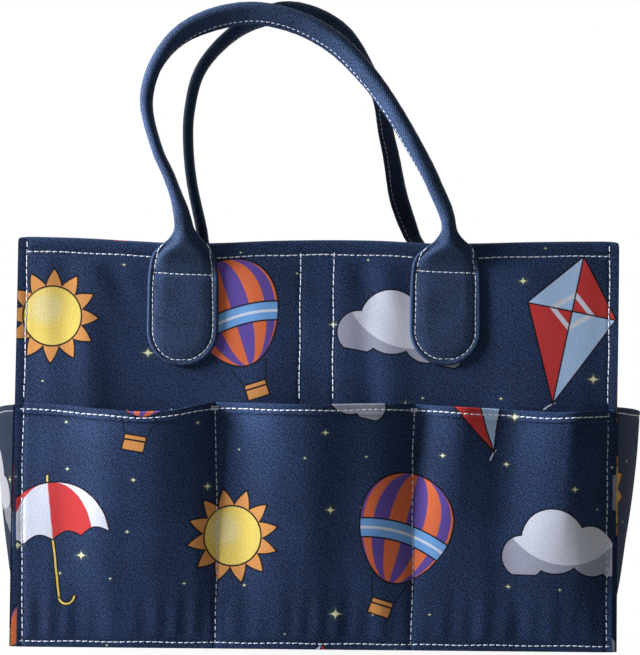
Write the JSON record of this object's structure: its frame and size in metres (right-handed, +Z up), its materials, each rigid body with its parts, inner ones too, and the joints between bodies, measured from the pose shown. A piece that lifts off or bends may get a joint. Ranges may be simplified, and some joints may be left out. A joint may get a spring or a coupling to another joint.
{
  "type": "diaper caddy",
  "caption": "Rectangular padded fabric tote with open top, pockets all round the outside, two upright rolled handles on stitched tabs and a lift-out padded cross divider.",
  "frame": {"origin": "on the ground under the middle of the bag", "axes": "+Z up, -Y towards the front (the side with the shorter standing handle), +X to the right seen from the front"},
  "size_m": [0.4266, 0.2138, 0.4399],
  "materials": {
    "printed_twill": "matte twill weave, navy ground with a printed pattern",
    "plain_twill": "matte twill weave, plain navy",
    "lining_cloth": "matte plain weave",
    "wall_foam": "soft foam sheet",
    "base_board": "stiff sheet",
    "loop_tape": "brushed loop pile",
    "hook_tape": "rows of small hooks",
    "rope_core": "soft cotton cord"
  },
  "bodies": {
    "bag": {"base_panel": "printed_twill", "base_stiffener": "base_board", "base_lining": "lining_cloth", "front_panel": "printed_twill", "front_stiffener": "wall_foam", "front_lining": "lining_cloth", "front_loop_tape": "loop_tape", "front_pocket": "printed_twill", "front_left_tab": "plain_twill", "front_left_tab_pad": "wall_foam", "front_right_tab": "plain_twill", "front_right_tab_pad": "wall_foam", "back_panel": "printed_twill", "back_stiffener": "wall_foam", "back_lining": "lining_cloth", "back_loop_tape": "loop_tape", "back_pocket": "printed_twill", "back_left_tab": "plain_twill", "back_left_tab_pad": "wall_foam", "back_right_tab": "plain_twill", "back_right_tab_pad": "wall_foam", "left_panel": "printed_twill", "left_stiffener": "wall_foam", "left_lining": "lining_cloth", "left_pocket": "printed_twill", "right_panel": "printed_twill", "right_stiffener": "wall_foam", "right_lining": "lining_cloth", "right_pocket": "printed_twill"},
    "front_handle": {"front_handle_cover": "plain_twill", "front_handle_core": "rope_core"},
    "back_handle": {"back_handle_cover": "plain_twill", "back_handle_core": "rope_core"},
    "divider": {"divider_cover": "lining_cloth", "divider_stiffener": "wall_foam", "divider_front_hook_tape": "hook_tape", "divider_back_hook_tape": "hook_tape"}
  },
  "joints": [
    {"name": "front_handle_swing", "type": "hinge", "parent": "bag", "child": "front_handle", "pos_m": [0, -0.0956, 0.257], "axis": [1, 0, 0], "range_deg": [-36, 165]},
    {"name": "back_handle_swing", "type": "hinge", "parent": "bag", "child": "back_handle", "pos_m": [0, 0.0956, 0.257], "axis": [-1, 0, 0], "range_deg": [-29, 165]},
    {"name": "divider_lift", "type": "slide", "parent": "bag", "child": "divider", "axis": [0, 0, 1], "range_m": [0, 0.44]}
  ]
}
